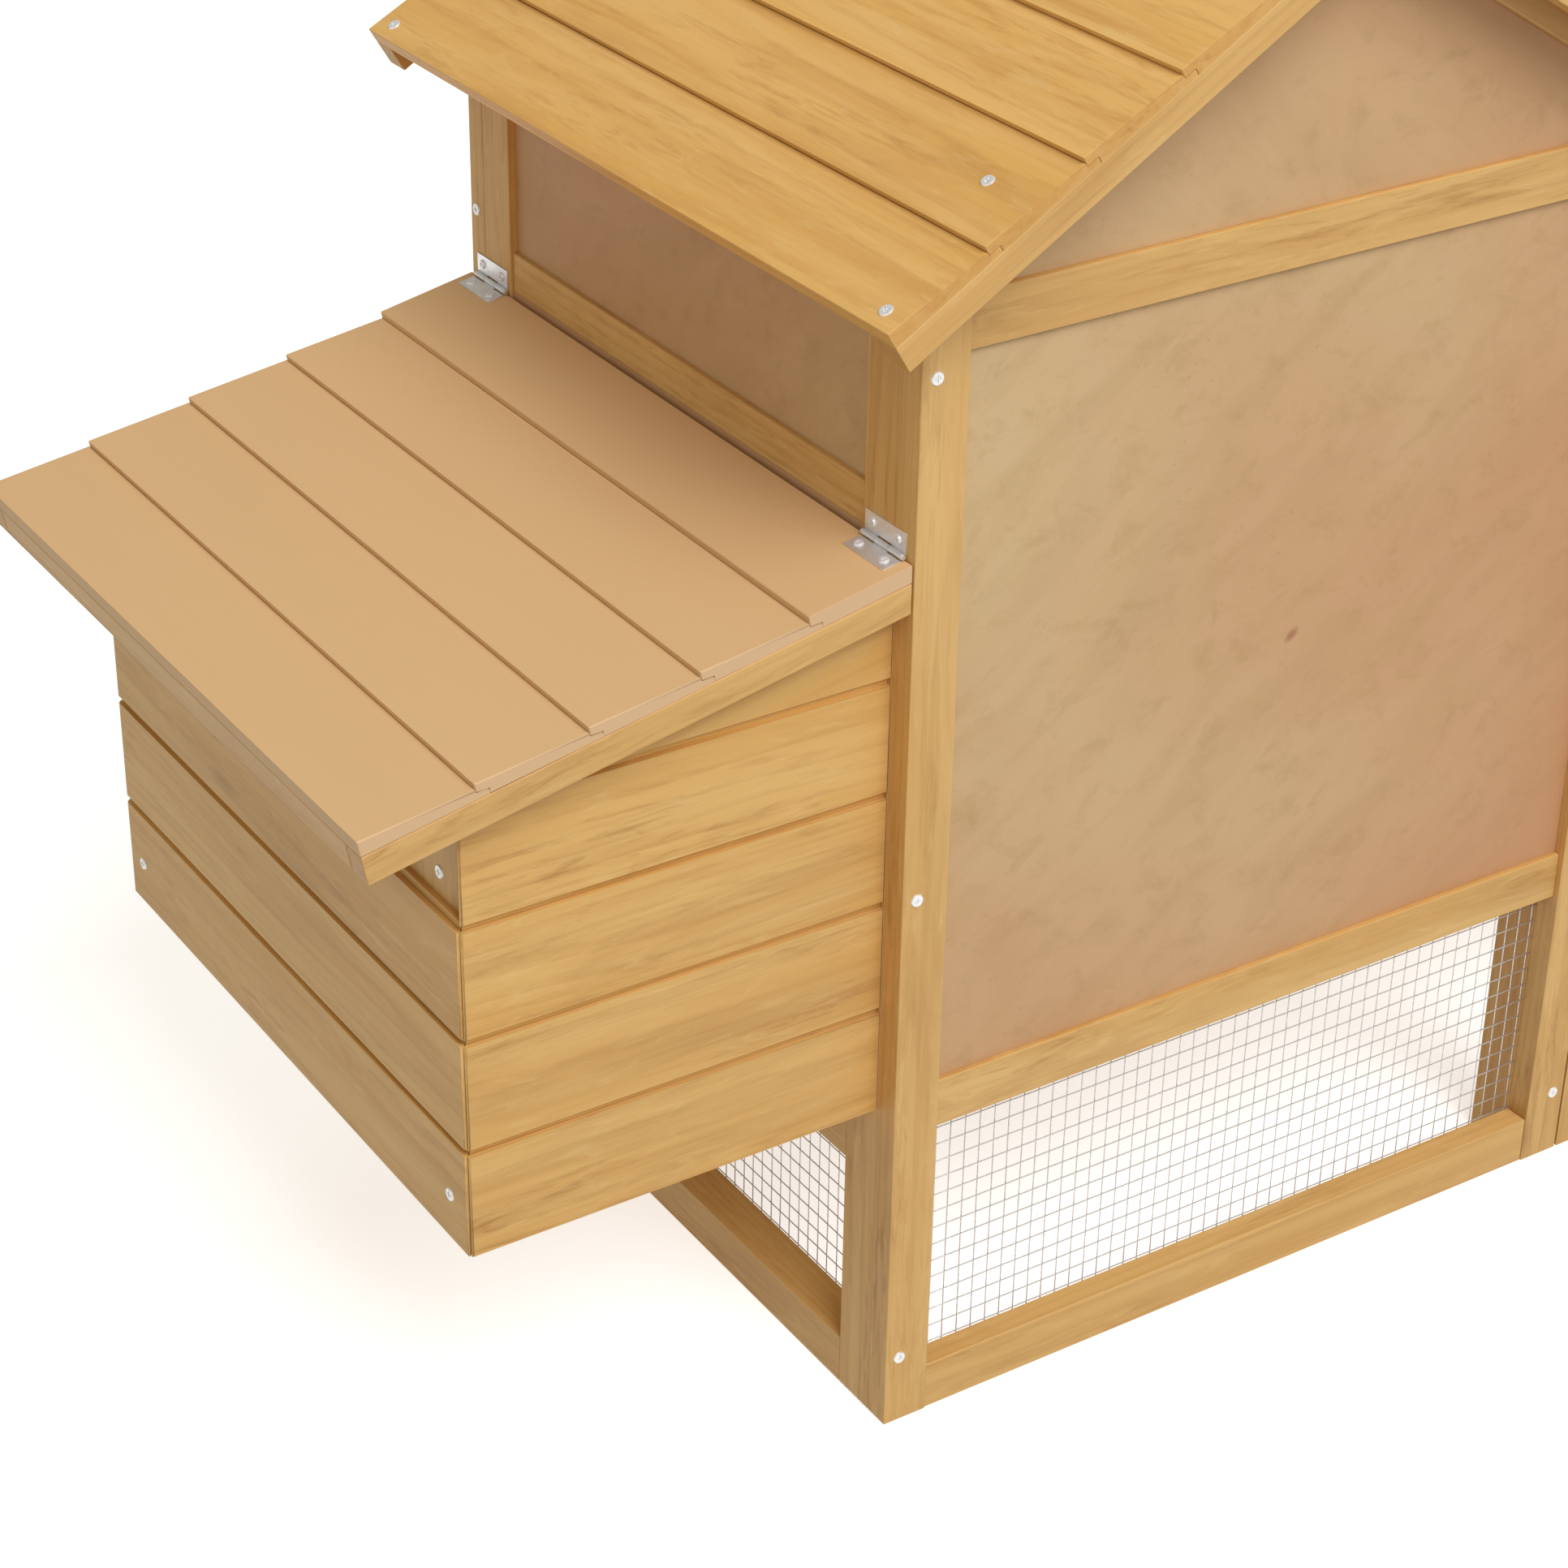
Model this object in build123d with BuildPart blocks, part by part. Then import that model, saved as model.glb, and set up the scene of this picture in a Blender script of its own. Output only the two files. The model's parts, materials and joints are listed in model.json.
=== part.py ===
# Timber chicken coop: a house with a pitched roof, a lidded nest box on one side and a wire run on
# the other. +Z is up, X runs from the nest box to the run, and Y runs from the plain back wall to
# the front with its doors. The sizes and places below start on the ground under the middle of the
# house. The finished pieces are saved with the origin under the middle of the whole coop.
from build123d import *

import os
from collections import namedtuple
from math import atan, cos, radians, sin, tan

os.makedirs("parts", exist_ok=True)

# ---- house
house_length = 575.0  # along X, over the corner stiles
house_depth = 508.0  # along Y, over the two gable walls
lumber = 18.5  # thickness of the gable walls, the doors and the run
stile_width = 32.0
rail_height = 33.5
bottom_rail_height = 34.5
bottom_rail_setback = 0.8
rail_setback = 4.5  # the back wall's upper rails lie behind its stiles
sheet_setback = 8.5  # plywood lies behind the faces of the gable walls and the door
sheet_thickness = 5.0
floor_top = 216.5
top_rail_bottom = 728.0
board_gap = 0.2  # between boards that meet edge to edge
door_gap = 2.0  # around a door in its opening

# ---- side walls
post_width = 33.0
post_thickness = 32.0
side_rail_depth = 30.0
side_top = 786.0
side_bottom_rail_height = 35.0
lid_rail_bottom = 612.0
lid_rail_top = 638.5
lid_rail_setback = 2.0
side_sheet_setback = 5.5
sill_rail_height = 62.0
sill_top = 262.0
floor_thickness = 5.0
floor_bearing = 15.0  # of the floor on the side walls' rails
perch_size = 28.0
perch_height = 545.0
perch_offset = 344.0  # from the back wall's face

# ---- roof
roof_pitch = 31.0
wall_roof_height = 788.5  # underside of the roof boards over a side wall's face
eave_reach = 44.5
gable_reach = 37.7
roof_cover = 71.3
first_roof_cover = 69.6
roof_course_count = 6
roof_thick = 10.6  # a board at its lower edge
roof_thin = 6.6  # and at its upper edge
board_lap = 8.0
board_tongue = 4.0
batten_width = 19.5
batten_height = 18.4
rafter_height = 30.0
ridge_board_width = 32.0
ridge_board_thickness = 8.0

# ---- nest box
nest_reach = 280.6
nest_inset = 19.1  # from the gable walls' faces to the box's sides
nest_bottom = 232.7
nest_cover = 74.4
nest_board = 7.4
nest_groove = 5.1
nest_groove_depth = 3.5
nest_lap = 5.0
nest_end_courses = 3
nest_side_courses = 5
nest_corner_bevel = 2.5
nest_floor_thickness = 9.0
nest_post_width = 72.0
nest_post_thickness = 18.0
divider_thickness = 9.0
divider_top = 420.0
nest_hole_width = 150.0
nest_hole_height = 190.0
nest_hole_sill = 60.0  # above the nest's floor

# ---- nest lid
lid_length = 352.0  # down its slope
lid_height_at_wall = 598.1  # underside of the lid's boards at the wall
lid_pitch = 11.2
lid_inset = 0.8
lid_gap = 0.6  # to the wall behind it and to the box walls under it
lid_cover = 70.9
lid_course_count = 5
lid_thick = 10.3
lid_thin = 6.6
lid_top_board = 11.1
lid_batten_width = 18.0
lid_batten_height = 18.8

# ---- run
run_gap = 1.8
run_length = 760.0
run_height = 620.0

# ---- pop door and ramp
pop_width = 170.0
pop_height = 230.0
pop_sill = 8.0  # above the sill rail
pop_offset = 175.0  # from the back wall's face to the middle of the hole
pop_corner = 40.0
pop_door_margin = 12.0
pop_door_thickness = 6.0
pop_clearance = 0.5
guide_width = 14.0
guide_lip = 7.0
guide_back = 4.0
ramp_pitch = 35.0
ramp_width = 150.0
ramp_thickness = 12.0
ramp_axis_below_sill = 16.0
cleat_size = 10.0
cleat_spacing = 60.0

# ---- tray
tray_height = 28.0
tray_gap = 2.0
tray_sheet = 0.8
tray_lift = 0.3  # over the floor

# ---- hardware
hinge_length = 39.5
leaf_width = 14.0
leaf_thickness = 1.0
leaf_start = 0.6  # from the pin's axis to the edge of a leaf
leaf_notch = 2.3  # and to its edge beside the other leaf's knuckle
hinge_axis_height = 2.3  # from the face that a leaf lies on to the pin's axis
knuckle_radius = 1.8
knuckle_gap = 0.3
pin_radius = 0.9
pin_clearance = 0.05
pin_head_radius = 1.4
pin_head_length = 0.8
leaf_hole_inset = 7.2  # from a leaf's end to its screw
leaf_hole_reach = 8.0  # from the pin's axis
lid_hinge_inset = 8.7
door_hinge_inset = 70.0
button_length = 54.0
button_width = 16.0
button_thickness = 8.0
button_lift = 0.5
button_screw_gap = 0.3
knob_radius = 12.0
knob_neck_radius = 6.0
knob_reach = 20.0
shank_clearance = 0.05
slot_width = 1.0
slot_depth = 0.6
wire_size = 1.0
bar_spacing = 36.0  # one bar of the mesh stands for three wires
mesh_lap = 15.0

ScrewSize = namedtuple("ScrewSize", "head_radius head_height shank_radius length")
frame_screw = ScrewSize(4.2, 0.9, 1.75, 26.0)
leaf_screw = ScrewSize(3.2, 1.2, 1.5, 9.0)
button_screw = ScrewSize(4.2, 1.8, 1.75, button_thickness + 14.0)

# ---- places that follow from the sizes
half_length = house_length / 2
back = -house_depth / 2
front = house_depth / 2
inner_x = half_length - stile_width
post_inner_y = house_depth / 2 - lumber - post_width
slot_top = floor_top + tray_height + 2 * tray_gap
door_sill = slot_top + rail_height
side_rail_top = floor_top - floor_thickness
run_start = half_length + run_gap
run_end = run_start + run_length
run_middle = (run_start + run_end) / 2
pitch = radians(roof_pitch)
lid_slope = radians(lid_pitch)
ramp_slope = radians(ramp_pitch)
roof_depth = house_depth + 2 * gable_reach
eave_height = wall_roof_height - eave_reach * tan(pitch)
rafter_drop = rafter_height / cos(pitch)
nest_y = house_depth / 2 - nest_inset
lid_tip = half_length + lid_length * cos(lid_slope) + lid_thick * sin(lid_slope)
coop_middle = (run_end - lid_tip) / 2


# ---- solids
def write(part, name):
    """Save a piece, with the origin moved from the middle of the house to that of the coop."""
    placed = part.moved(Location((-coop_middle, 0, 0)))
    placed.label = name
    export_step(placed, f"parts/{name}.step")


def board(x, y, z):
    """A straight board between two places along each axis."""
    with BuildSketch(Plane.XY.offset(z[0])) as end:
        with Locations(((x[0] + x[1]) / 2, (y[0] + y[1]) / 2)):
            Rectangle(x[1] - x[0], y[1] - y[0])
    extrude(end.sketch, amount=z[1] - z[0])


def outline(plane, points, depth, mode=Mode.ADD):
    """A solid with a drawn outline, pushed along the plane's normal."""
    with BuildSketch(plane) as shape:
        with BuildLine():
            Polyline(*points, close=True)
        make_face()
    extrude(shape.sketch, amount=depth, mode=mode)


def slab(points, y, mode=Mode.ADD):
    """A solid whose outline is given in X and Z, between two places along Y."""
    plane = Plane(origin=(0, y[1], 0), x_dir=(1, 0, 0), z_dir=(0, -1, 0))
    outline(plane, points, y[1] - y[0], mode)


def cross_slab(points, x, mode=Mode.ADD):
    """A solid whose outline is given in Y and Z, between two places along X."""
    plane = Plane(origin=(x[0], 0, 0), x_dir=(0, 1, 0), z_dir=(1, 0, 0))
    outline(plane, points, x[1] - x[0], mode)


def at_wall(wall, setback, thickness):
    """Places along Y of a layer set back from a gable wall's outer face."""
    inward = 1 if wall < 0 else -1
    return sorted((wall + inward * setback, wall + inward * (setback + thickness)))


def at_side(side, setback, thickness):
    """Places along X of a layer set back from a side wall's outer face."""
    return sorted((side * (half_length - setback), side * (half_length - setback - thickness)))


def grille(plane, width, height):
    """A flat wire mesh centred on a plane."""
    columns = int((width - wire_size) // bar_spacing)
    rows = int((height - wire_size) // bar_spacing)
    cell = bar_spacing - wire_size
    with BuildSketch(plane) as mesh:
        Rectangle(width, height)
        with GridLocations(bar_spacing, bar_spacing, columns, rows):
            Rectangle(cell, cell, mode=Mode.SUBTRACT)
    extrude(mesh.sketch, amount=wire_size)


def screws(places, size):
    """Cross-head screws, each given by the place its head sits on and the way it faces."""
    for place, facing in places:
        seat = Plane(origin=place, z_dir=facing)
        with BuildSketch(seat) as head:
            Circle(size.head_radius)
        extrude(head.sketch, amount=size.head_height, taper=25)
        with BuildSketch(seat) as shank:
            Circle(size.shank_radius)
        extrude(shank.sketch, amount=-size.length)
        with BuildSketch(seat.offset(size.head_height)) as cross:
            Rectangle(size.head_radius, slot_width)
            Rectangle(slot_width, size.head_radius)
        extrude(cross.sketch, amount=-slot_depth, mode=Mode.SUBTRACT)


def pilots(places, size):
    """Cut the holes that those screws' shanks sit in."""
    for place, facing in places:
        with BuildSketch(Plane(origin=place, z_dir=facing).offset(size.head_height)) as bore:
            Circle(size.shank_radius + shank_clearance)
        extrude(bore.sketch, amount=-(size.head_height + size.length + board_gap), mode=Mode.SUBTRACT)


def lapped_courses(edges, lower, upper, last_lower, last_upper, slope):
    """Profiles of lapped boards: how far each point is up the slope and off the boards' underside.

    A board's lower edge covers the tongue of the board below it, and the last board ends at an
    upright plane.
    """
    profiles = []
    for course, (low, high) in enumerate(zip(edges[:-1], edges[1:])):
        last = course == len(edges) - 2
        if last:
            points = [(low, last_lower), (high + last_upper * tan(slope), last_upper), (high, 0)]
        else:
            points = [(low, lower), (high - board_gap, upper), (high - board_gap, board_tongue)]
            points += [(high + board_lap - board_gap, board_tongue)]
            points += [(high + board_lap - board_gap, 0)]
        if course:
            points += [(low + board_lap, 0), (low + board_lap, board_tongue + board_gap)]
            points += [(low, board_tongue + board_gap)]
        else:
            points += [(low, 0)]
        profiles.append(points)
    return profiles


# ---- roof geometry
def roof_place(side, up, off):
    """X and Z of a place up the slope from the eave and off the boards' underside."""
    x = half_length + eave_reach - up * cos(pitch) + off * sin(pitch)
    return (side * x, eave_height + up * sin(pitch) + off * cos(pitch))


def roof_underside(x):
    return wall_roof_height + (half_length - abs(x)) * tan(pitch)


roof_slope_length = (half_length + eave_reach - board_gap / 2) / cos(pitch)
roof_edges = [0] + [first_roof_cover + n * roof_cover for n in range(roof_course_count - 1)]
roof_edges += [roof_slope_length]
roof_taper = (roof_thick - roof_thin) / roof_cover
roof_top_thin = roof_thick - roof_taper * (roof_slope_length - roof_edges[-2])
roof_top_thin /= 1 + roof_taper * tan(pitch)  # the last board runs on past the slope's end


def roof_face(up):
    """How far the boards' top is off their underside, at a place up the slope."""
    course = max(n for n, edge in enumerate(roof_edges) if edge <= up)
    return roof_thick - roof_taper * (up - roof_edges[course])


def roof_screw(side, up, y):
    """A screw standing square on the sloped face of a roof board."""
    x, z = roof_place(side, up, roof_face(up))
    lean = pitch - atan(roof_taper)
    return ((x, y, z), (side * sin(lean), 0, cos(lean)))


ridge_start = roof_slope_length - ridge_board_width
ridge_seat = max(roof_face(up) for up in [ridge_start] + roof_edges[:-1] if up >= ridge_start)
eave_screw_up = 11.5
eave_screw_inset = 16.5
rafter_screw_up = 105.0
rafter_screw_inset = 4.5
ridge_screw_down = 16.0
ridge_screw_inset = 47.0
roof_screws = []
for side in (-1, 1):
    for end in (-1, 1):
        roof_screws += [roof_screw(side, eave_screw_up, end * (roof_depth / 2 - eave_screw_inset))]
        roof_screws += [roof_screw(side, rafter_screw_up, end * (front - rafter_screw_inset))]
ridge_screws = []
for side in (-1, 1):
    for end in (-1, 1):
        ridge_x, ridge_z = roof_place(
            side, roof_slope_length - ridge_screw_down, ridge_seat + ridge_board_thickness
        )
        ridge_y = end * (front - ridge_screw_inset + gable_reach)
        ridge_screws += [((ridge_x, ridge_y, ridge_z), (side * sin(pitch), 0, cos(pitch)))]

# ---- places of the frame's screws
stile_screw_inset = 10.0
wall_screw_heights = (50.5, 389.0, 719.0)
edge_screw_inset = 8.0
edge_screw_height = 654.5
back_screws = [
    ((side * (half_length - stile_screw_inset), back, z), (0, -1, 0))
    for side in (-1, 1)
    for z in wall_screw_heights
]
edge_screws = [
    ((side * half_length, front - edge_screw_inset, edge_screw_height), (side, 0, 0))
    for side in (-1, 1)
]
nest_screw_inset = 22.0
nest_screw_height = 264.2
nest_post_screw_inset = 34.0
nest_post_screw_height = 471.5
nest_end_screws = [
    ((-half_length - nest_reach, side * (nest_y - nest_screw_inset), nest_screw_height), (-1, 0, 0))
    for side in (-1, 1)
]
nest_post_face = -half_length - nest_reach + nest_board
nest_post_screws = [
    ((nest_post_face, side * (nest_y - nest_post_screw_inset), nest_post_screw_height), (-1, 0, 0))
    for side in (-1, 1)
]
run_screw_heights = (50.5, run_height - rail_height - 16.0)
run_screws = [
    ((run_end - stile_width / 2, side * house_depth / 2, z), (0, side, 0))
    for side in (-1, 1)
    for z in run_screw_heights
]
joining_screw_heights = (100.0, 560.0)
joining_screws = [
    ((run_start + stile_width, side * (front - lumber / 2), z), (1, 0, 0))
    for side in (-1, 1)
    for z in joining_screw_heights
]
joining_screw = ScrewSize(4.2, 0.9, 1.75, stile_width + run_gap + 18.0)

# ---- hinges: the middle of the pin, the way each leaf runs from it, and the way the leaf faces
Leaf = namedtuple("Leaf", "place along facing")


def leaf_plane(leaf):
    """Plane across the hinge: X along the leaf, Y off the face it lies on, Z along the pin."""
    normal = Vector(*leaf.along).cross(Vector(*leaf.facing))
    return Plane(origin=leaf.place, x_dir=leaf.along, z_dir=normal)


def hinge_leaves(leaves, outer_knuckles):
    """Butt hinge leaves with either the two outer knuckles or the middle one."""
    knuckle = (hinge_length - 2 * knuckle_gap) / 3
    starts = (-hinge_length / 2, hinge_length / 2 - knuckle) if outer_knuckles else (-knuckle / 2,)
    plate_low = -hinge_axis_height
    plate_high = leaf_thickness - hinge_axis_height
    for leaf in leaves:
        base = leaf_plane(leaf)
        corners = [(leaf_notch, plate_low), (leaf_width, plate_low)]
        corners += [(leaf_width, plate_high), (leaf_notch, plate_high)]
        outline(base.offset(-hinge_length / 2), corners, hinge_length)
        for start in starts:
            corners = [(leaf_start, plate_low), (leaf_width, plate_low)]
            corners += [(leaf_width, plate_high), (leaf_start, plate_high)]
            outline(base.offset(start), corners, knuckle)
            with BuildSketch(base.offset(start)) as barrel:
                Circle(knuckle_radius)
            extrude(barrel.sketch, amount=knuckle)
            with BuildSketch(base.offset(start)) as bore:
                Circle(pin_radius + pin_clearance)
            extrude(bore.sketch, amount=knuckle, mode=Mode.SUBTRACT)
    pilots(leaf_screws(leaves), leaf_screw)


def leaf_screws(leaves):
    """Places of the two screws in each leaf."""
    places = []
    for leaf in leaves:
        base = leaf_plane(leaf)
        for end in (-1, 1):
            seat = Vector(
                leaf_hole_reach,
                leaf_thickness - hinge_axis_height,
                end * (hinge_length / 2 - leaf_hole_inset),
            )
            places.append((base.from_local_coords(seat), leaf.facing))
    return places


lid_axis_off = lid_top_board + hinge_axis_height
lid_axis_x = -half_length - hinge_axis_height
lid_axis_z = (
    lid_height_at_wall - hinge_axis_height * tan(lid_slope) + lid_axis_off / cos(lid_slope)
)
lid_hinge_y = [side * (front - lid_hinge_inset - hinge_length / 2) for side in (-1, 1)]
lid_down = (-cos(lid_slope), 0, -sin(lid_slope))
lid_up = (-sin(lid_slope), 0, cos(lid_slope))
lid_wall_leaves = [Leaf((lid_axis_x, y, lid_axis_z), (0, 0, 1), (-1, 0, 0)) for y in lid_hinge_y]
lid_leaves = [Leaf((lid_axis_x, y, lid_axis_z), lid_down, lid_up) for y in lid_hinge_y]

ramp_y = back + pop_offset
ramp_axis_x = half_length + hinge_axis_height
ramp_axis_z = sill_top - ramp_axis_below_sill
ramp_hinge_y = [ramp_y + side * (ramp_width / 2 - hinge_length / 2 - 5.0) for side in (-1, 1)]
ramp_down = (cos(ramp_slope), 0, -sin(ramp_slope))
ramp_up = (sin(ramp_slope), 0, cos(ramp_slope))
ramp_wall_leaves = [Leaf((ramp_axis_x, y, ramp_axis_z), (0, 0, 1), (1, 0, 0)) for y in ramp_hinge_y]
ramp_leaves = [Leaf((ramp_axis_x, y, ramp_axis_z), ramp_down, ramp_up) for y in ramp_hinge_y]

door_axis_y = front + hinge_axis_height
door_axis_x = -inner_x + door_gap / 2
door_hinge_z = (door_sill + door_hinge_inset, top_rail_bottom - door_hinge_inset)
door_wall_leaves = [Leaf((door_axis_x, door_axis_y, z), (-1, 0, 0), (0, 1, 0)) for z in door_hinge_z]
door_leaves = [Leaf((door_axis_x, door_axis_y, z), (1, 0, 0), (0, 1, 0)) for z in door_hinge_z]

run_door_axis_x = run_end - stile_width - door_gap / 2
run_door_hinge_z = (
    bottom_rail_height + door_hinge_inset,
    run_height - rail_height - door_hinge_inset,
)
run_door_wall_leaves = [
    Leaf((run_door_axis_x, door_axis_y, z), (1, 0, 0), (0, 1, 0)) for z in run_door_hinge_z
]
run_door_leaves = [
    Leaf((run_door_axis_x, door_axis_y, z), (-1, 0, 0), (0, 1, 0)) for z in run_door_hinge_z
]
fixed_leaves = lid_wall_leaves + ramp_wall_leaves + door_wall_leaves + run_door_wall_leaves

# ---- turn buttons
door_button = (half_length - stile_width / 2, (door_sill + top_rail_bottom) / 2)
run_button = (run_middle, run_height / 2)
button_face = front + button_lift + button_thickness + button_screw_gap
button_screws = [((x, button_face, z), (0, 1, 0)) for x, z in (door_button, run_button)]


def turn_button(place):
    """A wooden bar with rounded ends that turns on one screw; it stands clear of the door."""
    plane = Plane(origin=(place[0], front + button_lift, place[1]), x_dir=(0, 0, 1), z_dir=(0, 1, 0))
    with BuildSketch(plane) as bar:
        SlotOverall(button_length, button_width)
        Circle(button_screw.shank_radius + shank_clearance, mode=Mode.SUBTRACT)
    extrude(bar.sketch, amount=button_thickness)


def knob(place, facing):
    """A turned knob on a neck."""
    base = Plane(origin=place, z_dir=facing)
    with BuildSketch(base) as neck:
        Circle(knob_neck_radius)
    extrude(neck.sketch, amount=knob_reach / 2)
    with BuildSketch(base.offset(knob_reach / 2)) as grip:
        Circle(knob_radius)
    extrude(grip.sketch, amount=knob_reach / 2, taper=12)


# ---- gable walls
def gable_stiles(wall):
    for side in (-1, 1):
        corners = [
            (side * half_length, 0),
            (side * half_length, roof_underside(half_length) - rafter_drop),
            (side * inner_x, roof_underside(inner_x) - rafter_drop),
            (side * inner_x, 0),
        ]
        slab(corners, at_wall(wall, 0, lumber))


def wall_rail(wall, bottom, height, setback):
    board((-inner_x, inner_x), at_wall(wall, setback, lumber - setback), (bottom, bottom + height))


with BuildPart() as back_stiles:
    gable_stiles(back)
    pilots(back_screws, frame_screw)
    pilots(joining_screws, joining_screw)
    pilots(leaf_screws(lid_wall_leaves), leaf_screw)
write(back_stiles.part, "back_stiles")

with BuildPart() as front_stiles:
    gable_stiles(front)
    pilots(edge_screws, frame_screw)
    pilots(joining_screws, joining_screw)
    pilots(leaf_screws(lid_wall_leaves + door_wall_leaves), leaf_screw)
    pilots(button_screws, button_screw)
write(front_stiles.part, "front_stiles")

with BuildPart() as back_rails:
    wall_rail(back, 0, bottom_rail_height, bottom_rail_setback)
    wall_rail(back, floor_top, rail_height, rail_setback)
    wall_rail(back, top_rail_bottom, rail_height, rail_setback)
write(back_rails.part, "back_rails")

with BuildPart() as front_rails:
    wall_rail(front, 0, bottom_rail_height, 0)
    wall_rail(front, floor_top - rail_height, rail_height, 0)
    wall_rail(front, slot_top, rail_height, 0)
    wall_rail(front, top_rail_bottom, rail_height, 0)
write(front_rails.part, "front_rails")

with BuildPart() as back_wall_sheet:
    board(
        (-inner_x, inner_x),
        at_wall(back, sheet_setback, sheet_thickness),
        (floor_top + rail_height, top_rail_bottom),
    )
write(back_wall_sheet.part, "back_wall_sheet")

with BuildPart() as gable_sheets:
    for wall in (back, front):
        rail_top = top_rail_bottom + rail_height
        corners = [
            (-inner_x, rail_top),
            (inner_x, rail_top),
            (inner_x, roof_underside(inner_x) - rafter_drop),
            (0, roof_underside(0) - rafter_drop),
            (-inner_x, roof_underside(inner_x) - rafter_drop),
        ]
        slab(corners, at_wall(wall, sheet_setback, sheet_thickness))
write(gable_sheets.part, "gable_sheets")

with BuildPart() as gable_rafters:
    for wall in (back, front):
        for side in (-1, 1):
            middle = board_gap / 2
            corners = [
                (side * half_length, roof_underside(half_length)),
                (side * middle, roof_underside(middle)),
                (side * middle, roof_underside(middle) - rafter_drop),
                (side * half_length, roof_underside(half_length) - rafter_drop),
            ]
            slab(corners, at_wall(wall, 0, lumber))
    pilots(roof_screws + ridge_screws, frame_screw)
write(gable_rafters.part, "gable_rafters")

with BuildPart() as gable_meshes:
    for wall, high in ((back, floor_top), (front, floor_top - rail_height)):
        low = bottom_rail_height
        plane = Plane(
            origin=(0, at_wall(wall, lumber, wire_size)[0], (low + high) / 2),
            x_dir=(-1, 0, 0),
            z_dir=(0, 1, 0),
        )
        grille(plane, 2 * (half_length - post_thickness - board_gap), high - low + 2 * mesh_lap)
write(gable_meshes.part, "gable_meshes")

# ---- side walls
with BuildPart() as side_posts:
    for side in (-1, 1):
        for end in (-1, 1):
            ys = sorted((end * (front - lumber), end * post_inner_y))
            board(at_side(side, 0, post_thickness), ys, (0, side_top))
    pilots(back_screws, frame_screw)
    pilots(leaf_screws(lid_wall_leaves), leaf_screw)
write(side_posts.part, "side_posts")

post_bay = (-post_inner_y, post_inner_y)
with BuildPart() as nest_side_rails:
    outer = at_side(-1, 0, side_rail_depth)
    board(outer, post_bay, (0, side_bottom_rail_height))
    board(outer, post_bay, (side_rail_top - rail_height, side_rail_top))
    lid_rail_depth = side_rail_depth - lid_rail_setback
    board(at_side(-1, lid_rail_setback, lid_rail_depth), post_bay, (lid_rail_bottom, lid_rail_top))
    board(outer, post_bay, (side_top - rail_height, side_top))
write(nest_side_rails.part, "nest_side_rails")

with BuildPart() as nest_side_sheet:
    board(
        at_side(-1, side_sheet_setback, sheet_thickness),
        post_bay,
        (lid_rail_top, side_top - rail_height),
    )
write(nest_side_sheet.part, "nest_side_sheet")

nest_floor_top = nest_bottom + nest_floor_thickness
nest_inner_y = nest_y - nest_board
nest_hole_y = (nest_inner_y + divider_thickness / 2) / 2
with BuildPart() as nest_opening_sheet:
    xs = at_side(-1, lid_rail_setback, sheet_thickness)
    with BuildSketch(Plane(origin=(xs[0], 0, 0), x_dir=(0, 1, 0), z_dir=(1, 0, 0))) as sheet:
        with Locations((0, (side_rail_top + lid_rail_bottom) / 2)):
            Rectangle(2 * post_inner_y, lid_rail_bottom - side_rail_top)
        hole_z = nest_floor_top + nest_hole_sill + nest_hole_height / 2
        with Locations((-nest_hole_y, hole_z), (nest_hole_y, hole_z)):
            RectangleRounded(nest_hole_width, nest_hole_height, pop_corner, mode=Mode.SUBTRACT)
    extrude(sheet.sketch, amount=sheet_thickness)
write(nest_opening_sheet.part, "nest_opening_sheet")

with BuildPart() as nest_side_mesh:
    low = side_bottom_rail_height
    high = side_rail_top - rail_height
    xs = at_side(-1, side_rail_depth, wire_size)
    plane = Plane(origin=(xs[0], 0, (low + high) / 2), x_dir=(0, 1, 0), z_dir=(1, 0, 0))
    grille(plane, 2 * (post_inner_y - board_gap), high - low + 2 * mesh_lap)
write(nest_side_mesh.part, "nest_side_mesh")

with BuildPart() as run_side_rails:
    outer = at_side(1, 0, side_rail_depth)
    board(outer, post_bay, (side_rail_top - rail_height, side_rail_top))
    sill_board = at_side(1, 0, side_rail_depth - floor_bearing)
    board(sill_board, post_bay, (side_rail_top + floor_thickness, sill_top))
    board(outer, post_bay, (side_top - rail_height, side_top))
    pilots(leaf_screws(ramp_wall_leaves), leaf_screw)
write(run_side_rails.part, "run_side_rails")

with BuildPart() as run_side_sheet:
    xs = at_side(1, side_sheet_setback, sheet_thickness)
    with BuildSketch(Plane(origin=(xs[0], 0, 0), x_dir=(0, 1, 0), z_dir=(1, 0, 0))) as sheet:
        with Locations((0, (sill_top + side_top - rail_height) / 2)):
            Rectangle(2 * post_inner_y, side_top - rail_height - sill_top)
        with Locations((ramp_y, sill_top + pop_sill + pop_height / 2)):
            RectangleRounded(pop_width, pop_height, pop_corner, mode=Mode.SUBTRACT)
    extrude(sheet.sketch, amount=sheet_thickness)
write(run_side_sheet.part, "run_side_sheet")

# ---- pop door in its guides, inside the run-side wall
pop_sheet_inner = half_length - side_sheet_setback - sheet_thickness
pop_door_half = pop_width / 2 + pop_door_margin
pop_door_bottom = sill_top + pop_clearance
pop_door_top = sill_top + pop_sill + pop_height + pop_door_margin
pop_door_x = (pop_sheet_inner - pop_clearance - pop_door_thickness, pop_sheet_inner - pop_clearance)
with BuildPart() as pop_door:
    board(pop_door_x, (ramp_y - pop_door_half, ramp_y + pop_door_half), (pop_door_bottom, pop_door_top))
write(pop_door.part, "pop_door")

with BuildPart() as pop_door_knob:
    knob_z = pop_door_top - knob_radius - pop_door_margin
    knob((pop_door_x[0], ramp_y, knob_z), (-1, 0, 0))
write(pop_door_knob.part, "pop_door_knob")

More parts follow.
